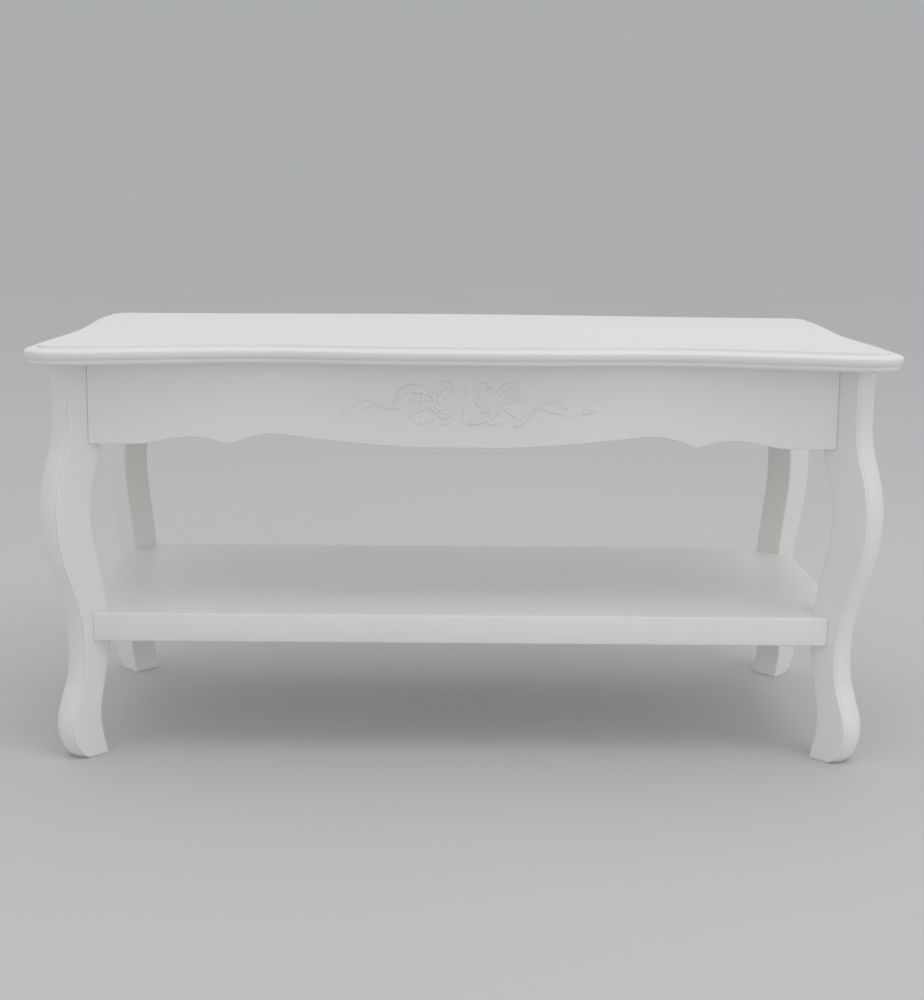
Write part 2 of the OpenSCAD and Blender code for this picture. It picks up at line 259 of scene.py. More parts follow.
def zinc_piece(name, part, places, node):
    """Copies of a zinc-plated fastener, as one piece."""
    mesh_piece(name, placed(part, places), ZINC, "zinc_steel", node)


# ---------------------------------------------------------------- materials
class Shader:
    """A small helper round one node material."""

    def __init__(self, name):
        self.material = bpy.data.materials.new(name)
        self.material.use_nodes = True
        self.tree = self.material.node_tree
        self.bsdf = self.tree.nodes["Principled BSDF"]
        self.coord = self.node("ShaderNodeTexCoord").outputs["Object"]

    def node(self, kind, **settings):
        n = self.tree.nodes.new(kind)
        for key, value in settings.items():
            setattr(n, key, value)
        return n

    def link(self, a, b):
        self.tree.links.new(a, b)

    def mapped(self, scale, rotation):
        """Object coordinates, turned and then scaled along the turned axes."""
        turned = self.node("ShaderNodeMapping")
        turned.inputs["Rotation"].default_value = rotation
        self.link(self.coord, turned.inputs["Vector"])
        scaled = self.node("ShaderNodeMapping")
        scaled.inputs["Scale"].default_value = scale
        self.link(turned.outputs["Vector"], scaled.inputs["Vector"])
        return scaled.outputs["Vector"]

    def noise(self, scale, detail=2.0, roughness=0.5, distortion=0.0, vector=None):
        n = self.node("ShaderNodeTexNoise")
        n.inputs["Scale"].default_value = scale
        n.inputs["Detail"].default_value = detail
        n.inputs["Roughness"].default_value = roughness
        n.inputs["Distortion"].default_value = distortion
        self.link(self.coord if vector is None else vector, n.inputs["Vector"])
        return n.outputs["Fac"]

    def spread(self, value, low, high, to_low, to_high):
        """A value between low and high, spread over another range and held at its ends."""
        n = self.node("ShaderNodeMapRange")
        for key, v in (("From Min", low), ("From Max", high), ("To Min", to_low), ("To Max", to_high)):
            n.inputs[key].default_value = v
        self.link(value, n.inputs["Value"])
        return n.outputs["Result"]

    def math(self, operation, a, b):
        n = self.node("ShaderNodeMath", operation=operation)
        for i, v in enumerate((a, b)):
            if isinstance(v, (int, float)):
                n.inputs[i].default_value = v
            else:
                self.link(v, n.inputs[i])
        return n.outputs[0]

    def ramp(self, value, stops):
        """A colour from (place, colour) stops."""
        n = self.node("ShaderNodeValToRGB")
        e = n.color_ramp.elements
        while len(e) < len(stops):
            e.new(0.5)
        for item, (at, colour) in zip(e, stops):
            item.position = at
            item.color = (*colour, 1)
        self.link(value, n.inputs["Fac"])
        return n.outputs["Color"]

    def mix(self, factor, base, colour):
        """Another node's colour, with this much of a constant one over it."""
        n = self.node("ShaderNodeMix", data_type="RGBA")
        self.link(factor, n.inputs[0])
        self.link(base, n.inputs[6])
        n.inputs[7].default_value = (*colour, 1)
        return n.outputs[2]

    def bump(self, height, distance, strength=1.0, normal=None):
        n = self.node("ShaderNodeBump")
        n.inputs["Strength"].default_value = strength
        n.inputs["Distance"].default_value = distance
        self.link(height, n.inputs["Height"])
        if normal is not None:
            self.link(normal, n.inputs["Normal"])
        return n.outputs["Normal"]

    def pointiness(self):
        """About 0.5 on flat faces, more on outer edges and less in corners."""
        return self.node("ShaderNodeNewGeometry").outputs["Pointiness"]

    def into(self, socket, value):
        """A constant or another node's output, into a socket of the shader itself."""
        if isinstance(value, (int, float, tuple)):
            self.bsdf.inputs[socket].default_value = value
        else:
            self.link(value, self.bsdf.inputs[socket])


def painted():
    """Satin white lacquer: a faint orange peel, softly rubbed edges, and a little dust with painted shade in
    the quirks.
    """
    s = Shader("white_satin_lacquer")
    tone = s.ramp(s.noise(3.2, 4, 0.55), [(0.30, (0.822, 0.824, 0.805)), (0.70, (0.850, 0.850, 0.833))])
    point = s.pointiness()
    rubbed = s.spread(point, 0.52, 0.60, 0.0, 0.55)
    rubbed = s.math("MULTIPLY", rubbed, s.spread(s.noise(55, 3, 0.6), 0.35, 0.65, 0.2, 1.0))
    # Painted shade with a little dust: the quirks and hollows, where the pointiness is low, are painted a
    # darker grey
    dust_and_shade = s.spread(point, 0.485, 0.43, 0.0, 0.45)
    colour = s.mix(rubbed, tone, (0.888, 0.885, 0.868))
    s.into("Base Color", s.mix(dust_and_shade, colour, (0.635, 0.635, 0.620)))
    rough = s.spread(s.noise(38, 4, 0.6), 0.3, 0.7, 0.34, 0.45)
    s.into("Roughness", s.math("SUBTRACT", rough, s.math("MULTIPLY", rubbed, 0.06)))
    peel = s.bump(s.noise(420, 2, 0.5), 0.00003)
    s.into("Normal", s.bump(s.noise(36, 2, 0.45), 0.00012, normal=peel))
    s.into("IOR", 1.46)
    return s.material


def bare_wood(name, degrees):
    """Unfinished softwood, its grain along X of coordinates turned by these degrees round Z."""
    s = Shader(name)
    along = (0, 0, math.radians(degrees))
    grain = s.noise(1.0, 5, 0.6, 0.6, s.mapped((6, 60, 60), along))
    fibres = s.noise(1.0, 3, 0.65, 0.1, s.mapped((25, 700, 700), along))
    tone = s.ramp(grain, [
        (0.30, (0.42, 0.27, 0.15)), (0.52, (0.58, 0.40, 0.235)), (0.75, (0.66, 0.48, 0.30))])
    pores = s.spread(fibres, 0.30, 0.46, 0.7, 0.0)
    colour = s.mix(pores, tone, (0.30, 0.185, 0.10))
    rubbed = s.spread(s.pointiness(), 0.52, 0.6, 0.0, 0.4)
    s.into("Base Color", s.mix(rubbed, colour, (0.70, 0.54, 0.36)))
    s.into("Roughness", s.spread(fibres, 0.3, 0.7, 0.72, 0.56))
    s.into("Normal", s.bump(fibres, 0.00012, 0.8))
    return s.material


def zinc_plate():
    """Bright zinc-plated steel, with slight clouding, fine scratches and edges worn brighter."""
    s = Shader("zinc_plated_steel")
    tone = s.ramp(s.noise(140, 4, 0.6), [(0.32, (0.50, 0.52, 0.54)), (0.68, (0.66, 0.67, 0.68))])
    worn = s.spread(s.pointiness(), 0.53, 0.62, 0.0, 0.6)
    s.into("Base Color", s.mix(worn, tone, (0.80, 0.80, 0.79)))
    s.into("Metallic", 1.0)
    s.into("Roughness", s.spread(s.noise(300, 3, 0.6), 0.3, 0.7, 0.26, 0.42))
    scratch = s.noise(1.0, 2, 0.5, 0.0, s.mapped((3000, 160, 420), (0.3, 0.5, 0.8)))
    s.into("Normal", s.bump(scratch, 0.00002, 0.7))
    return s.material


PAINT = painted()
# Seen from above, the grain falls or rises to the right, along the blocks of two opposite corners
FALLING_WOOD = bare_wood("softwood_falling_grain", 45)
RISING_WOOD = bare_wood("softwood_rising_grain", -45)
ZINC = zinc_plate()


# ---------------------------------------------------------------- tabletop
LONG_EDGE_POINTS = 181
SHORT_EDGE_POINTS = 61
# How far in the edge moulding reaches, on both faces
MOULDING_IN = 20.0


def plan_outline():
    """Outline of the top seen from above, counter-clockwise from the front left corner."""
    half_w, half_d = (top_high[0] - top_low[0]) / 2, (top_high[1] - top_low[1]) / 2
    straight = half_w - CORNER_R
    back_corner = half_d - BACK_BOW
    low, high = -half_d + CORNER_R, back_corner - CORNER_R
    edge = np.linspace(-1, 1, LONG_EDGE_POINTS) * straight
    side = np.linspace(0, 1, SHORT_EDGE_POINTS)

    def arc(cx, cy, start):
        a = np.radians(np.arange(start + 5, start + 86, 5))
        return np.stack([cx + CORNER_R * np.cos(a), cy + CORNER_R * np.sin(a)], 1)

    front_y = -half_d + curve(FRONT_EDGE, np.abs(edge) / straight)
    back_y = back_corner + BACK_BOW * (1 + np.cos(np.pi * edge / straight)) / 2
    side_x = half_w - SIDE_WAIST * (1 - np.cos(2 * np.pi * side)) / 2
    side_y = low + (high - low) * side
    return np.concatenate([
        np.stack([edge, front_y], 1), arc(straight, low, -90),
        np.stack([side_x, side_y], 1), arc(straight, high, 0),
        np.stack([edge[::-1], back_y[::-1]], 1), arc(-straight, high, 90),
        np.stack([-side_x[::-1], side_y[::-1]], 1), arc(-straight, low, 180)])


def set_in(outline, by):
    """The outline moved inwards, square to itself."""
    along = np.roll(outline, -1, 0) - np.roll(outline, 1, 0)
    along /= np.linalg.norm(along, axis=1)[:, None]
    return outline + by * np.stack([-along[:, 1], along[:, 0]], 1)


def round_nose(centre, radii, start, stop, count):
    """Points [inset, depth] round an ellipse. 0 degrees is its highest point, 90 the one furthest out."""
    a = np.radians(np.linspace(start, stop, count))
    return np.column_stack([centre[0] - radii[0] * np.sin(a), centre[1] - radii[1] * np.cos(a)])


def edge_moulding():
    """Section of the top's edge, from the field to the underside: [inset from the nose, depth]."""
    field = [(MOULDING_IN, 0), (13.2, 0), (12.5, 0)]
    quirk = [(12.2, 0.1), (12.1, 0.4), (12.0, 1.9), (11.8, 2.4), (11.4, 2.6), (11.0, 2.4), (10.6, 2.0)]
    nose = round_nose((10.6, 5.7), (10.6, 3.7), 0, 90, 15)[1:]
    under_nose = round_nose((3.9, 7.0), (3.9, 5.2), 90, 152, 9)
    lower_quirk = [(2.5, 11.95), (2.85, 12.25), (2.98, 12.45), (2.96, 12.7)]
    bead = bezier((2.9, 12.95), (2.5, 14.3), (3.4, 15.4), 6)
    under_bead = bezier((3.4, 15.4), (4.7, 17.1), (12.5, TOP_T), 9)[1:]
    underside = [(MOULDING_IN, TOP_T)]
    return np.concatenate([field, quirk, nose, under_nose, lower_quirk, bead, under_bead, underside])


def tabletop():
    """The moulded edge as a loft, whose first and last ring are closed by the field and the underside.

    Each of these is a row of quads from the front edge to the back edge, and one face at either end.
    """
    outline = plan_outline()
    size = len(outline)
    rings = [level(set_in(outline, inset), TOP_Z - depth) for inset, depth in edge_moulding()]
    verts, faces = loft(rings, caps=False)
    back = size // 2
    for start in (0, len(verts) - size):
        for i in range(LONG_EDGE_POINTS - 1):
            j = back + LONG_EDGE_POINTS - 1 - i
            faces.append((start + i, start + i + 1, start + j - 1, start + j))
        faces.append(tuple(range(start + LONG_EDGE_POINTS - 1, start + back + 1)))
        faces.append((start, *range(start + back + LONG_EDGE_POINTS - 1, start + size)))
    painted_piece("tabletop_moulded", (verts, faces), "tabletop")


# ---------------------------------------------------------------- legs
# Radii of the leg's inner and outer edges
INNER_R = 1.5
OUTER_R = 1.1
# The quirk beside each outer edge: [behind the edge of the crown, in from the side]
LEG_QUIRK = [(1.15, 1.4), (1.25, 1.9), (1.1, 2.4), (0.65, 2.85)]
# How far in from the side the crown of the outer face starts, and how high it rises
CROWN_IN = 3.3
CROWN_H = 2.6
# The toe is rounder: how much higher its crown is, and over which share of the leg that dies out
TOE_CROWN = 3.0
TOE_SHARE = 0.12
# Eased foot: [height, how far the section is set in]
FOOT_EASE = [(0.0, 0.9), (0.35, 0.35), (0.9, 0.0)]
LEG_STEPS = 150


def leg_section(inner, outer, shrink, crown):
    """Loop round a leg at one height, as [distance along the diagonal, sideways]."""
    half = LEG_T / 2 - shrink
    rear, front = inner + shrink, outer - shrink
    edge = front - crown
    shoulder = edge - 2 * OUTER_R
    flat = half - INNER_R
    reach = half - CROWN_IN
    rear_face = [(rear, w) for w in np.linspace(-flat, flat, 6)]
    side = [(rear + INNER_R * (1 - math.cos(t)), flat + INNER_R * math.sin(t))
        for t in np.radians([22, 45, 68])]
    side += [(d, half) for d in np.linspace(rear + INNER_R, shoulder, 7)]
    side += [(shoulder + OUTER_R * math.sin(t), half - OUTER_R * (1 - math.cos(t)))
        for t in np.radians([25, 50, 75])]
    side += [(edge - behind, half - across) for behind, across in LEG_QUIRK]
    side += [(front - crown * (w / reach) ** 2, w) for w in np.linspace(reach, 0, 9)]
    return rear_face + side + [(d, -w) for d, w in side[-2::-1]]


def leg(name, corner):
    """A leg lofted up its S-curved profile, with a crowned outer face between two quirks."""
    m = at_corner(corner)
    rings = []
    for z, shrink in FOOT_EASE + [(z, 0.0) for z in np.linspace(0, LEG_H, LEG_STEPS + 1)[1:]]:
        share = z / LEG_H
        crown = CROWN_H + TOE_CROWN * max(0.0, 1 - share / TOE_SHARE) ** 2
        section = leg_section(float(curve(LEG_INNER, share)), float(curve(LEG_OUTER, share)), shrink, crown)
        rings.append(level(section, z) @ m[:3, :3].T + m[:3, 3])
    painted_piece("leg_moulded_" + name, loft(rings), "leg_" + name, sharp=40)


# ---------------------------------------------------------------- carving on the front apron
# All heights in the spray are multiplied by this
SPRAY_RAISE = 1.3


class Relief:
    """Height field of a low carved spray, on a grid of x and z over the apron's face."""

    def __init__(self, x, z):
        self.x, self.z = x, z
        self.height = np.zeros_like(x)

    def add(self, h):
        self.height = np.maximum(self.height, h)

    def near(self, points, samples=90):
        """Distance to a smooth line through the points, and the share of the way along it."""
        p = np.array(points, float)
        at = np.concatenate([[0], np.cumsum(np.linalg.norm(np.diff(p, axis=0), axis=1))])
        length = at[-1]
        at /= length
        t = np.linspace(0, 1, samples)
        line = np.stack([curve(np.stack([at, p[:, axis]], 1), t) for axis in (0, 1)], 1)
        along = np.gradient(line, axis=0)
        along /= np.linalg.norm(along, axis=1)[:, None]
        best = np.full(self.x.shape, np.inf)
        share = np.zeros_like(best)
        for i in range(samples):
            dx, dz = self.x - line[i, 0], self.z - line[i, 1]
            d = np.hypot(dx, dz)
            closer = d < best
            best[closer] = d[closer]
            share[closer] = (t[i] + (dx * along[i, 0] + dz * along[i, 1]) / length)[closer]
        return best, np.clip(share, 0, 1)

    def stem(self, points, width, height, end=0.35):
        """A rounded tendril that tapers to this share of its width, and to 0.6 of its height."""
        d, t = self.near(points)
        half = width * (1 - (1 - end) * t)
        self.add(height * (1 - 0.4 * t) * np.clip(1 - (d / half) ** 2, 0, 1) ** 0.6)

    def leaf(self, points, width, height, lobes=0):
        """A leaf with a sunk midrib. Lobes notch its sides, with a groove at each side vein."""
        d, t = self.near(points)
        half = np.maximum(width * np.sin(np.pi * t**0.8) ** 0.75, 0.05)
        cut = 0.0
        if lobes:
            step = (lobes * t - 0.25 * d / width) % 1.0
            half = half * (0.78 + 0.24 * (1 - step))
            cut = 0.42 * np.exp(-(((step - 0.06) / 0.11) ** 2)) * np.clip(d / 0.8, 0, 1)
        cupped = np.clip((half - d) / 0.75, 0, 1) ** 0.7 * (0.78 + 0.22 * np.clip(d / half, 0, 1))
        midrib = 1 - 0.62 * np.exp(-((d / 0.62) ** 2))
        self.add(height * np.where(d < half, cupped * midrib * (1 - cut), 0))

    def petals(self, cx, cz, count, ring, size, height, start):
        """A ring of cupped petals, each tilted so that it tucks under the next."""
        for k in range(count):
            a = start + 2 * math.pi * k / count
            dx, dz = self.x - cx - ring * math.cos(a), self.z - cz - ring * math.sin(a)
            d = np.hypot(dx, dz)
            side = (dz * math.cos(a) - dx * math.sin(a)) / size
            lip = 0.42 * np.exp(-(((d - 0.84 * size) / (0.13 * size)) ** 2))
            rise = np.clip((size - d) / 0.55, 0, 1) ** 0.7
            self.add(np.where(d < size, (height + 0.45 * side + lip) * rise, 0))

    def rose(self, cx, cz, radius, start):
        """An open rose: three rings of overlapping petals round a small bud."""
        self.petals(cx, cz, 6, radius * 0.60, radius * 0.42, 0.80, start)
        self.petals(cx, cz, 5, radius * 0.36, radius * 0.34, 1.35, start + 0.6)
        self.petals(cx, cz, 3, radius * 0.17, radius * 0.23, 1.85, start + 0.2)
        d = np.hypot(self.x - cx, self.z - cz)
        self.add(np.where(d < radius * 0.12, 2.4, 0))


def spray(x, z):
    """Height of the roses, leaves and tendrils above the apron's face, in millimetres."""
    r = Relief(x, z)
    r.stem([(-60, 342), (-70, 341), (-80, 344), (-88, 348), (-96, 347), (-104, 342.5), (-109, 337)],
        1.7, 1.25)
    r.stem([(-84, 346), (-92, 341), (-101, 338)], 1.3, 1.0)
    r.stem([(50, 325), (58, 331.5), (67, 339.5), (74, 345), (80, 347.5), (89, 347.5), (98, 343.5)],
        1.9, 1.5)
    r.stem([(72, 343), (84, 338), (98, 335.5), (112, 336.5)], 1.3, 1.0)
    r.stem([(1, 341), (0.5, 333), (-1.5, 325)], 1.6, 1.2)
    # Leaves round the left rose
    r.leaf([(-27, 352), (-38, 358), (-51, 358.5), (-60, 352.5), (-65, 343)], 4.6, 1.7, 7)
    r.leaf([(-30, 348), (-39, 351), (-47, 348.5), (-53, 343)], 3.4, 1.5, 5)
    r.leaf([(-30, 343), (-38, 342), (-46, 337), (-51, 330)], 3.6, 1.5, 5)
    r.leaf([(-24, 334), (-31, 330), (-39, 328), (-47, 328.5)], 2.9, 1.3, 4)
    r.leaf([(-9, 333), (-15, 328.5), (-25, 325.5)], 2.6, 1.2, 3)
    r.leaf([(-6, 356), (-11, 362), (-19, 364), (-27, 362)], 2.9, 1.35, 4)
    # Leaves round the right rose
    r.leaf([(4, 352), (4.5, 358), (1, 365)], 2.8, 1.3, 3)
    r.leaf([(9, 355), (14, 360.5), (22, 363), (30, 361)], 3.0, 1.4, 4)
    r.leaf([(31, 353), (37, 360), (45, 364), (54, 364)], 3.2, 1.5, 5)
    r.leaf([(33, 351), (42, 356), (51, 358.5), (60, 357)], 2.9, 1.4, 4)
    r.leaf([(36, 346), (45, 349.5), (55, 350), (63, 347)], 3.0, 1.5, 4)
    r.leaf([(3, 326.5), (15, 330), (28, 335.5), (39, 344)], 4.2, 1.9, 6)
    r.leaf([(36, 342), (43, 339), (49, 334), (52, 328)], 2.8, 1.3, 4)
    r.leaf([(20, 329), (30, 327.5), (39, 330)], 2.5, 1.2, 3)
    # Small leaves on the tendrils
    r.leaf([(-94, 348), (-99, 351), (-105, 350)], 2.2, 1.1)
    r.leaf([(-106, 341), (-111, 338), (-113, 332)], 2.2, 1.1)
    r.leaf([(88, 347), (94, 344.5), (99, 340)], 2.4, 1.2)
    r.leaf([(110, 336), (117, 340), (127, 340)], 2.8, 1.3)
    r.rose(-17, 345, 14.0, 0.35)
    r.rose(23, 348.5, 11.8, 1.1)
    return r.height


def carving(x, z):
    """The raised spray, softened once each way as under coats of lacquer."""
    h = SPRAY_RAISE * spray(x, z)
    for axis in (0, 1):
        h = (np.roll(h, 1, axis) + 2 * h + np.roll(h, -1, axis)) / 4
    return h


# ---------------------------------------------------------------- aprons
# Open seam between an apron's end and the leg, along the apron
APRON_GAP = 0.9
# Rounding of the lower edges
APRON_EASE = 1.4
# Stretch at either end over which the columns are drawn towards the mitre
MITRE_RUN = 24.0
COLUMN_STEP = 2.4
PLAIN_ROWS = np.linspace(0, 1, 14)
# The carved stretch of the front apron has finer columns, and all of that apron has finer rows
CARVED_X = (-120, 132)
CARVED_STEP = 0.6
CARVED_ROWS = np.linspace(0, 1, 131)


def mitred(x, depth, end):
    """Place along an apron of a point that would be at x if its ends were square."""
    straight = end - MITRE_RUN
    reach = end - min(max(depth, 0), APRON_T) - APRON_GAP
    past = max(abs(x) - straight, 0) / MITRE_RUN
    return math.copysign(min(abs(x), straight) + past * (reach - straight), x)


def apron_board(end, columns, rows, low_edge, place, relief=None):
    """A board lofted along its length, with eased lower edges and mitred ends.

    end is half its length along the outer face. rows are shares of the outer face's height. place turns
    (along, depth, z) into the table's frame. relief gives the height of a carving on the outer face.
    """
    arc = [(APRON_EASE * (1 - math.cos(a)), APRON_EASE * (1 - math.sin(a)))
        for a in np.radians([15, 35, 55, 75])]
    low = low_edge(columns)
    foot = low + APRON_EASE
    outer = foot[:, None] + (LEG_H - foot)[:, None] * rows[None, :]
    raised = np.zeros_like(outer)
    if relief is not None:
        raised = relief(np.repeat(columns[:, None], len(rows), 1), outer)
    sections = []
    for x, z0, zs, heights in zip(columns, low, outer, raised):
        loop = list(zip(-heights[::-1], zs[::-1]))
        loop += [(depth, z0 + up) for depth, up in arc]
        loop += [(depth, z0) for depth in np.linspace(APRON_EASE, APRON_T - APRON_EASE, 5)]
        loop += [(APRON_T - depth, z0 + up) for depth, up in arc[::-1]]
        loop += [(APRON_T, z) for z in np.linspace(z0 + APRON_EASE, LEG_H, 10)]
        sections.append([place(mitred(x, depth, end), depth, z) for depth, z in loop])
    return loft(sections)


def long_low_edge(x):
    """Lower edge of the long aprons: a belly and a hump that meet in a small downward point."""
    s = np.clip(np.abs(x) / LONG_END, 0, 1)
    belly = curve(APRON_BELLY, np.minimum(s, CUSP))
    hump = curve(APRON_HUMP, np.maximum(s, CUSP))
    return APRON_LOW + np.where(s < CUSP, belly, hump)


def short_low_edge(x):
    """Lower edge of the side aprons: one shallow arch over the middle four fifths."""
    s = np.abs(x) / SHORT_END
    return APRON_LOW + 1.5 + 12 * np.cos(np.pi / 2 * np.minimum(s / 0.8, 1)) ** 2


def aprons():
    """The four aprons. The carved one has a fine grid where its relief is."""
    cusp_x = CUSP * LONG_END
    half = np.concatenate([spaced(0, cusp_x, COLUMN_STEP), spaced(cusp_x, LONG_END, COLUMN_STEP)])
    half = np.unique(np.round(half, 4))
    plain = np.concatenate([-half[::-1], half[1:]])
    uncarved = plain[(plain < CARVED_X[0] - 1) | (plain > CARVED_X[1] + 1)]
    fine = np.sort(np.concatenate([uncarved, spaced(*CARVED_X, CARVED_STEP)]))
    short = spaced(-SHORT_END, SHORT_END, COLUMN_STEP)

    def on_front(along, depth, z):
        return along, FRAME_Y - HALF_D + depth, z

    def on_back(along, depth, z):
        return -along, FRAME_Y + HALF_D - depth, z

    front = apron_board(LONG_END, fine, CARVED_ROWS, long_low_edge, on_front, carving)
    painted_piece("apron_front_carved", front, "apron_front", sharp=50)
    back = apron_board(LONG_END, plain, PLAIN_ROWS, long_low_edge, on_back)
    painted_piece("apron_back_shaped", back, "apron_back")
    for side, name in ((-1, "left"), (1, "right")):
        def on_side(along, depth, z):
            return side * (HALF_W - depth), FRAME_Y + side * along, z

        board = apron_board(SHORT_END, short, PLAIN_ROWS, short_low_edge, on_side)
        painted_piece("apron_" + name + "_arched", board, "apron_" + name)


# ---------------------------------------------------------------- shelf
# Open seam between the shelf's mitred corners and the legs, along the shelf's sides
SHELF_GAP = 0.35
# Rounding of the long edges, and width of the flat rim inside it that keeps the shading even
SHELF_EASE = 1.8
SHELF_RIM = 5.0
# Eased upright edge beside a leg: [along the side, in from the side]
SHELF_NIP = [(1.6, 0), (0.75, 0.35), (0.9, 0.9)]
# Bores for the cam locks, from below
BORE_R = 7.6
BORE_DEPTH = 20.6


def shelf():
    """The shelf board: mitred corners against the legs, eased edges and bores for the cam locks."""
    step = LEG_T / 2 / math.sqrt(2)
    front_end = HALF_D + LEG_X - LEG_Y - 2 * step - SHELF_GAP
    side_end = HALF_W - LEG_X + LEG_Y - 2 * step - SHELF_GAP
    front_nip = [(front_end - along, HALF_D - across) for along, across in SHELF_NIP]
    mitre = [(LEG_X - step, LEG_Y + step), (LEG_X + step, LEG_Y - step)]
    side_nip = [(HALF_W - across, side_end - along) for along, across in SHELF_NIP[::-1]]
    quarter = np.array(front_nip + mitre + side_nip)
    # The mitre stays in place while the rest of the outline is set in
    free = np.array([1, 1, 1, 0, 0, 1, 1, 1])[:, None]

    def outline(inset):
        q = quarter - free * inset
        return np.concatenate([q, (q * [1, -1])[::-1], -q, (q * [-1, 1])[::-1]]) + [0, FRAME_Y]

    low, high = shelf_low[2], shelf_high[2]
    rings = [level(outline(SHELF_EASE + SHELF_RIM), low)]
    for t in np.radians([0, 22.5, 45, 67.5, 90]):
        rings.append(level(outline(SHELF_EASE * (1 - math.sin(t))), low + SHELF_EASE * (1 - math.cos(t))))
    rings += [ring * [1, 1, -1] + [0, 0, low + high] for ring in rings[::-1]]
    bores = [circle(BORE_R, 32) + (at_corner(c) @ move(-CAM_SETBACK, 0, 0))[:2, 3] for c in CORNERS.values()]
    parts = [loft(rings, caps=False)]
    parts += [filled([rings[0][:, :2]] + bores, low), filled([rings[-1][:, :2]], high)]
    for bore in bores:
        parts.append(loft([level(bore, low), level(bore, low + BORE_DEPTH)], caps=False))
        parts.append(filled([bore], low + BORE_DEPTH))
    painted_piece("shelf_board", together(parts), "shelf", sharp=50)


# ---------------------------------------------------------------- shapes of the hardware
def thread(core, crest, pitch, start, stop, step, taper=0.0):
    """Profile rows of a screw thread, run out at both ends.

    taper is the share of its radius that it loses over its last four turns.
    """
    rows = []
    point = 4 * pitch
    for z in np.arange(start, stop + 1e-6, step):
        run = min(1.0, (z - start) / pitch, (stop - z) / pitch)
        slim = 1 - taper * max(0.0, (z - (stop - point)) / point) ** 1.5

        def radius(a, z=z, run=run, slim=slim):
            saw = np.abs(((z / pitch - a / (2 * np.pi)) % 1.0) * 2 - 1)
            return (core + (crest - core) * run * saw) * slim

        rows.append((radius, z))
    return rows


def cross_cap(radius, half_long, half_wide, z, depth, around):
    """A flat round face at z that looks down, with a tapered cross recess in it."""
    floor_share = 0.62
    arm = np.array([(half_long, -half_wide), (half_long, half_wide), (half_wide, half_wide)])
    cross = np.concatenate([arm @ turn("Z", degrees)[:2, :2].T for degrees in (0, 90, 180, 270)])
    mouth, floor = level(cross, z), level(cross * floor_share, z + depth)
    face = filled([circle(radius, around), cross], z)
    return together([face, loft([mouth, floor], caps=False), (floor, [tuple(range(len(floor)))])])


def headed(profile, around, recess):
    """A turned part, closed by a flat face at its far end and by a recessed one at its near end."""
    verts, faces = revolve(profile, around, caps=False)
    tip = tuple(range(len(verts) - around, len(verts)))
    return together([(verts, faces + [tip]), recess])


def wood_screw(length, head_h):
    """Pan-head screw along +Z, seated at z = 0, with a cross recess in its head."""
    shank, head, around = 2.0, 4.0, 16
    flat = head * 0.62
    profile = [(flat, -head_h)]
    profile += [(flat + (head - flat) * math.sin(a), -head_h * (0.42 + 0.58 * math.cos(a)))
        for a in np.radians([25, 45, 65, 85])]
    profile += [(head, -0.35), (head - 0.25, 0), (shank, 0)]
    profile += [(shank * 0.92, 0.8), (shank * 0.92, length * 0.25)]
    profile += thread(1.35, shank, 1.8, length * 0.28, length - 0.6, 0.45, 0.8)
    profile += [(0.25, length)]
    return headed(profile, around, cross_cap(flat, flat * 0.78, flat * 0.2, -head_h, 1.3, around))


def cam_lock():
    """Cam lock seen from below: a round zinc body with an eased rim and a cross recess."""
    r, top, around = 7.5, 20.5, 32
    face_r, face_z = r - 1.6, 0.35
    profile = [(face_r, face_z), (r - 1.3, 0.0), (r - 0.45, 0.0), (r, 0.45), (r, top - 0.5), (r - 0.5, top)]
    return headed(profile, around, cross_cap(face_r, 4.6, 0.85, face_z, 2.2, around))


def hex_nut(flats, height, bore):
    """Hexagon nut along +Z, chamfered at both faces, its bore countersunk."""
    def cut(limit):
        def radius(a):
            off = (a + np.pi / 6) % (np.pi / 3) - np.pi / 6
            return np.minimum(flats / 2 / np.cos(off), limit)
        return radius

    sink = 0.55
    chamfer = [(0.0, 0.485), (0.25, 0.505), (0.55, 0.535), (0.95, 0.6)]
    rows = [(cut(flats * share), z) for z, share in chamfer]
    rows += [(cut(flats * share), height - z) for z, share in chamfer[::-1]]
    rows += [(bore + sink, height), (bore, height - sink), (bore, sink), (bore + sink, 0)]
    return revolve(rows + rows[:1], 48, caps=False)


def washer(inner, outer, thick):
    """Flat washer along +Z with eased edges."""
    e = 0.2
    rows = [(inner + e, 0), (outer - e, 0), (outer, e), (outer, thick - e), (outer - e, thick),
        (inner + e, thick), (inner, thick - e), (inner, e)]
    return revolve(rows + rows[:1], 40, caps=False)


def hanger_bolt(length):
    """Along +Z: machine thread on the first half, plain collar, coarse wood thread to the tip."""
    crest, collar, middle = 4.0, 3.9, 34.0
    profile = [(2.9, 0), (3.7, 0.8)]
    profile += thread(3.35, crest, 1.25, 1.0, middle, 0.3125)
    profile += [(collar, middle + 0.6), (collar, middle + 4.5)]
    profile += thread(2.7, crest, 3.2, middle + 5, length - 0.8, 0.64, 0.75)
    profile += [(0.5, length)]
    return revolve(profile, 16)


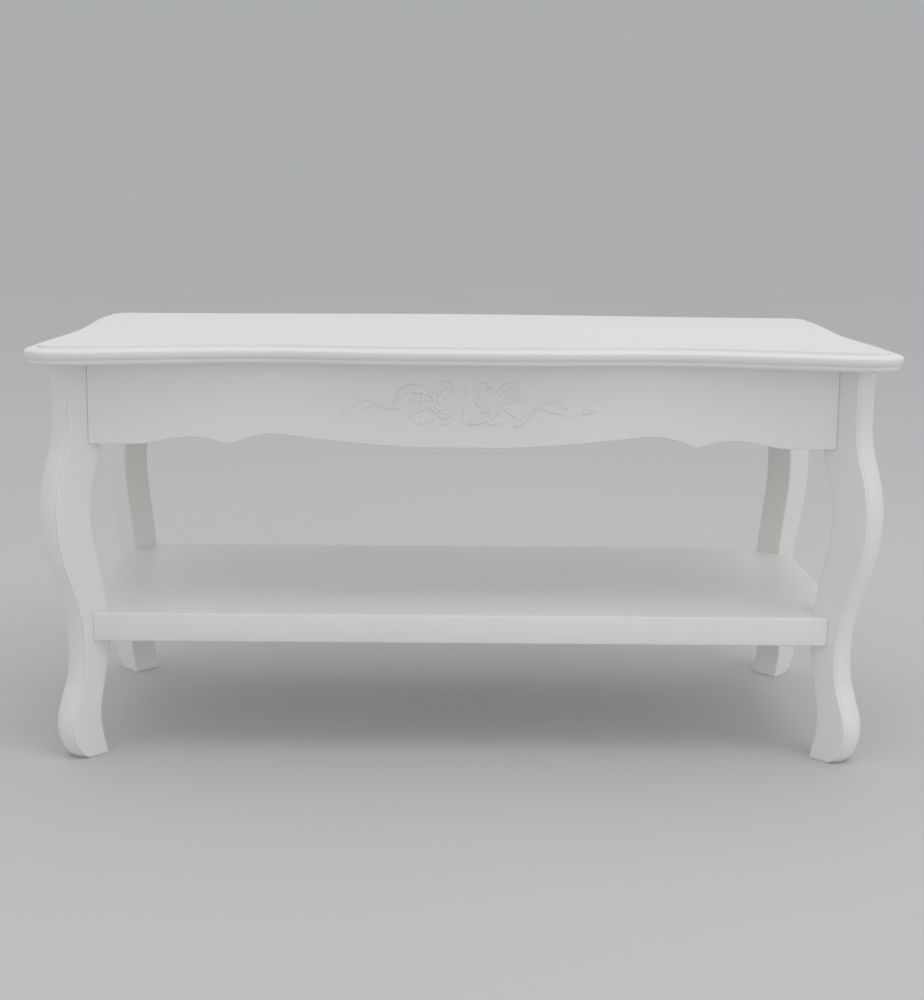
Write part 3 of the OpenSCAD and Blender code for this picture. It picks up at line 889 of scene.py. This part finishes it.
def bracket(arm, thick, half_wide):
    """Bent steel angle. Local +X inwards under the top, +Z up, origin at the outside of the bend."""
    bend, corner, ease = 3.2, 5.0, 0.25
    from_end = np.concatenate([np.linspace(0, corner, 9), np.linspace(corner, arm - bend, 5)[1:]])
    # Outside of the sheet from its low end to its far one, each point with the way to the inside
    path = [((0.0, t - arm), (1.0, 0.0)) for t in from_end]
    path += [((bend * (1 - math.cos(a)), -bend * (1 - math.sin(a))), (math.cos(a), -math.sin(a)))
        for a in np.radians([15, 30, 45, 60, 75])]
    path += [((arm - t, 0.0), (0.0, -1.0)) for t in from_end[::-1]]
    rings = []
    for (x, z), (nx, nz) in path:
        to_end = min(math.hypot(x, z + arm), math.hypot(x - arm, z))
        w = half_wide - corner + math.sqrt(corner**2 - max(corner - to_end, 0) ** 2)
        loop = [(0, -w + ease), (0, w - ease), (ease, w), (thick - ease, w), (thick, w - ease),
            (thick, -w + ease), (thick - ease, -w), (ease, -w)]
        rings.append([(x + nx * depth, y, z + nz * depth) for depth, y in loop])
    return loft(rings)


# ---------------------------------------------------------------- places of the hardware
def hanger_bolts(corner_frames, lie):
    """Two bolts to a leg, each with its washer and nut on the corner block's inner face."""
    length, washer_t, nut_h, proud, pitch = 75, 1.6, 6.4, 5, 32
    middle = (block_low[2] + block_high[2]) / 2
    washer_x = -BLOCK_DEPTH - washer_t
    nut_x = washer_x - nut_h

    def seats(x):
        return [m @ move(x, 0, middle + up) @ lie for m in corner_frames for up in (-pitch / 2, pitch / 2)]

    # The nuts have come to rest at another angle on each leg
    nuts = [seat @ turn("Z", 8 + 17 * (i // 2)) for i, seat in enumerate(seats(nut_x))]
    zinc_piece("hanger_bolts_threaded", hanger_bolt(length), seats(nut_x - proud), "hanger_bolts")
    zinc_piece("hanger_washers_eased", washer(4.2, 10, washer_t), seats(washer_x), "hanger_washers")
    zinc_piece("hanger_nuts_chamfered", hex_nut(13, nut_h, 4.02), nuts, "hanger_nuts")


def block_screws(corner_frames, lie):
    """Four screws to a corner block, square to the apron that each goes into."""
    from_neck, grip, from_face = 20 / math.sqrt(2), 11, 9
    heights = [block_low[2] + from_face, block_high[2] - from_face]
    places = [m @ move(NECK_D - from_neck, s * (LEG_T / 2 + from_neck), z) @ turn("Z", s * 45)
        @ move(-grip, 0, 0) @ lie @ turn("Z", 23 * k)
        for m in corner_frames for k, z in enumerate(heights) for s in (-1, 1)]
    zinc_piece("corner_block_screws_cross_head", wood_screw(25, 2.4), places, "corner_block_screws")


def top_brackets():
    """Six angles that hold the top down on the aprons, with two screws each."""
    arm, thick, half_wide, hole_at, share = 24.0, 2.0, 15.0, 14.4, 0.62
    x, y, side_x = HALF_W * share, HALF_D - APRON_T, HALF_W - APRON_T
    seats = [(-x, -y, 90), (x, -y, 90), (-x, y, -90), (x, y, -90), (-side_x, 0, 0), (side_x, 0, 180)]
    frames = [move(sx, sy + FRAME_Y, LEG_H) @ turn("Z", a) for sx, sy, a in seats]
    into_top = move(hole_at, 0, -thick) @ turn("Z", 31)
    into_apron = move(thick, 0, -hole_at) @ turn("Y", -90) @ turn("Z", 12)
    screws = [f @ place for f in frames for place in (into_top, into_apron)]
    zinc_piece("top_brackets_bent", bracket(arm, thick, half_wide), frames, "top_brackets")
    zinc_piece("top_bracket_screws_cross_head", wood_screw(15, 2.2), screws, "top_bracket_screws")


def hardware():
    """The fasteners that get a finer shape than the CAD's."""
    corner_frames = [at_corner(c) for c in CORNERS.values()]
    lie = turn("Y", 90)
    hanger_bolts(corner_frames, lie)
    block_screws(corner_frames, lie)
    top_brackets()
    cams = [m @ move(-CAM_SETBACK, 0, shelf_low[2]) @ turn("Z", 19) for m in corner_frames]
    zinc_piece("shelf_cam_locks_slotted", cam_lock(), cams, "shelf_cam_locks")


def eased(name, material, width):
    """A CAD node whose shape is right: it keeps it, with eased edges and a better material."""
    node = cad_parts[name]
    node.data.materials.clear()
    node.data.materials.append(material)
    bevel = node.modifiers.new("eased_edges", "BEVEL")
    bevel.width = width * MM
    bevel.segments = 2
    bevel.limit_method = "ANGLE"
    bevel.angle_limit = math.radians(30)


def carried_over():
    """The corner blocks, dowels and cam bolts."""
    for name, (sx, sy) in CORNERS.items():
        eased("corner_block_" + name, FALLING_WOOD if sx * sy > 0 else RISING_WOOD, 0.9)
    eased("shelf_dowels", FALLING_WOOD, 0.6)
    eased("shelf_cam_bolts", ZINC, 0.6)


# ---------------------------------------------------------------- stage, light and camera
FLOOR_TONE = (0.61, 0.61, 0.61)
# What the camera sees past the floor's far edge, matched to the floor so that no horizon shows
BACKDROP = (0.4128, 0.4232, 0.4338)
# The even light from all round: its strength, and its tints low down and overhead
DOME = 0.68
HORIZON = (1.02, 1.0, 0.965)
ZENITH = (0.965, 1.0, 1.055)
# Name, place, height of the point that it faces, size in metres, power in watts
SOFTBOXES = [
    ("overhead_softbox", (0.0, -0.3, 2.6), 0.3, (3.2, 2.4), 9.2),
    ("key_softbox", (1.1, -1.0, 2.5), 0.3, (1.4, 0.9), 6.2),
    ("front_softbox", (0.0, -2.6, 0.5), 0.25, (2.6, 0.8), 1.6),
    ("right_softbox", (2.4, -1.8, 1.0), 0.25, (1.4, 1.4), 4.4),
]


def stage():
    """A plain pale floor that reaches 40 m."""
    verts, faces = loft([level(circle(r, 64), 0.0) for r in (400, 1200, 3000, 9000, 40000)], caps=False)
    faces.append(tuple(range(64)))
    mesh = bpy.data.meshes.new("floor")
    mesh.from_pydata((verts * MM).tolist(), [], faces)
    s = Shader("pale_floor")
    lighter = tuple(c * 1.02 for c in FLOOR_TONE)
    s.into("Base Color", s.ramp(s.noise(1.2, 2, 0.5), [(0.3, FLOOR_TONE), (0.7, lighter)]))
    s.into("Roughness", 0.8)
    s.into("Specular IOR Level", 0.0)
    mesh.materials.append(s.material)
    linked_object("floor", mesh)


def dome():
    """World light from all round. The camera itself sees the plain backdrop instead."""
    world = bpy.data.worlds.new("studio")
    bpy.context.scene.world = world
    world.use_nodes = True
    nodes, link = world.node_tree.nodes, world.node_tree.links.new
    nodes.clear()
    coord = nodes.new("ShaderNodeTexCoord")
    split = nodes.new("ShaderNodeSeparateXYZ")
    sky = nodes.new("ShaderNodeValToRGB")
    sky.color_ramp.elements[0].color = (*HORIZON, 1)
    sky.color_ramp.elements[1].color = (*ZENITH, 1)
    lit = nodes.new("ShaderNodeBackground")
    lit.inputs["Strength"].default_value = DOME
    seen = nodes.new("ShaderNodeBackground")
    seen.inputs["Color"].default_value = (*BACKDROP, 1)
    path = nodes.new("ShaderNodeLightPath")
    mix = nodes.new("ShaderNodeMixShader")
    out = nodes.new("ShaderNodeOutputWorld")
    link(coord.outputs["Generated"], split.inputs[0])
    link(split.outputs["Z"], sky.inputs["Fac"])
    link(sky.outputs["Color"], lit.inputs["Color"])
    link(path.outputs["Is Camera Ray"], mix.inputs[0])
    link(lit.outputs[0], mix.inputs[1])
    link(seen.outputs[0], mix.inputs[2])
    link(mix.outputs[0], out.inputs[0])


def softbox(name, location, target_z, size, power):
    """A rectangular area light that faces a point above the middle of the floor."""
    data = bpy.data.lights.new(name, "AREA")
    data.shape = "RECTANGLE"
    data.size, data.size_y = size
    data.energy = power
    ob = linked_object(name, data)
    ob.location = location
    ob.rotation_euler = (Vector((0, 0, target_z)) - Vector(location)).to_track_quat("-Z", "Y").to_euler()


def camera():
    """The photograph's viewpoint: nearly square on to the front, a little above the top."""
    yaw, pitch, roll = 0.004982, 0.154027, 0.009038
    location = Vector((-0.02696, -1.61527, 0.54585))
    right = Vector((math.cos(yaw), -math.sin(yaw), 0))
    ahead = Vector((math.sin(yaw) * math.cos(pitch), math.cos(yaw) * math.cos(pitch), -math.sin(pitch)))
    up = right.cross(ahead)
    across = right * math.cos(roll) + up * math.sin(roll)
    above = up * math.cos(roll) - right * math.sin(roll)
    data = bpy.data.cameras.new("camera")
    data.sensor_width = 36.0
    data.sensor_fit = "AUTO"
    data.lens = 56.967
    data.shift_x = 0.0202
    data.shift_y = -0.0691
    data.clip_start = 0.05
    data.clip_end = 100.0
    ob = linked_object("camera", data)
    axes = Matrix((across, above, -ahead)).transposed().to_4x4()
    ob.matrix_world = Matrix.Translation(location) @ axes
    bpy.context.scene.camera = ob


camera()
dome()
for box in SOFTBOXES:
    softbox(*box)
stage()
tabletop()
for corner_name, corner in CORNERS.items():
    leg(corner_name, corner)
aprons()
shelf()
hardware()
carried_over()
view = bpy.context.scene.view_settings
view.view_transform = "Standard"
view.look = "None"
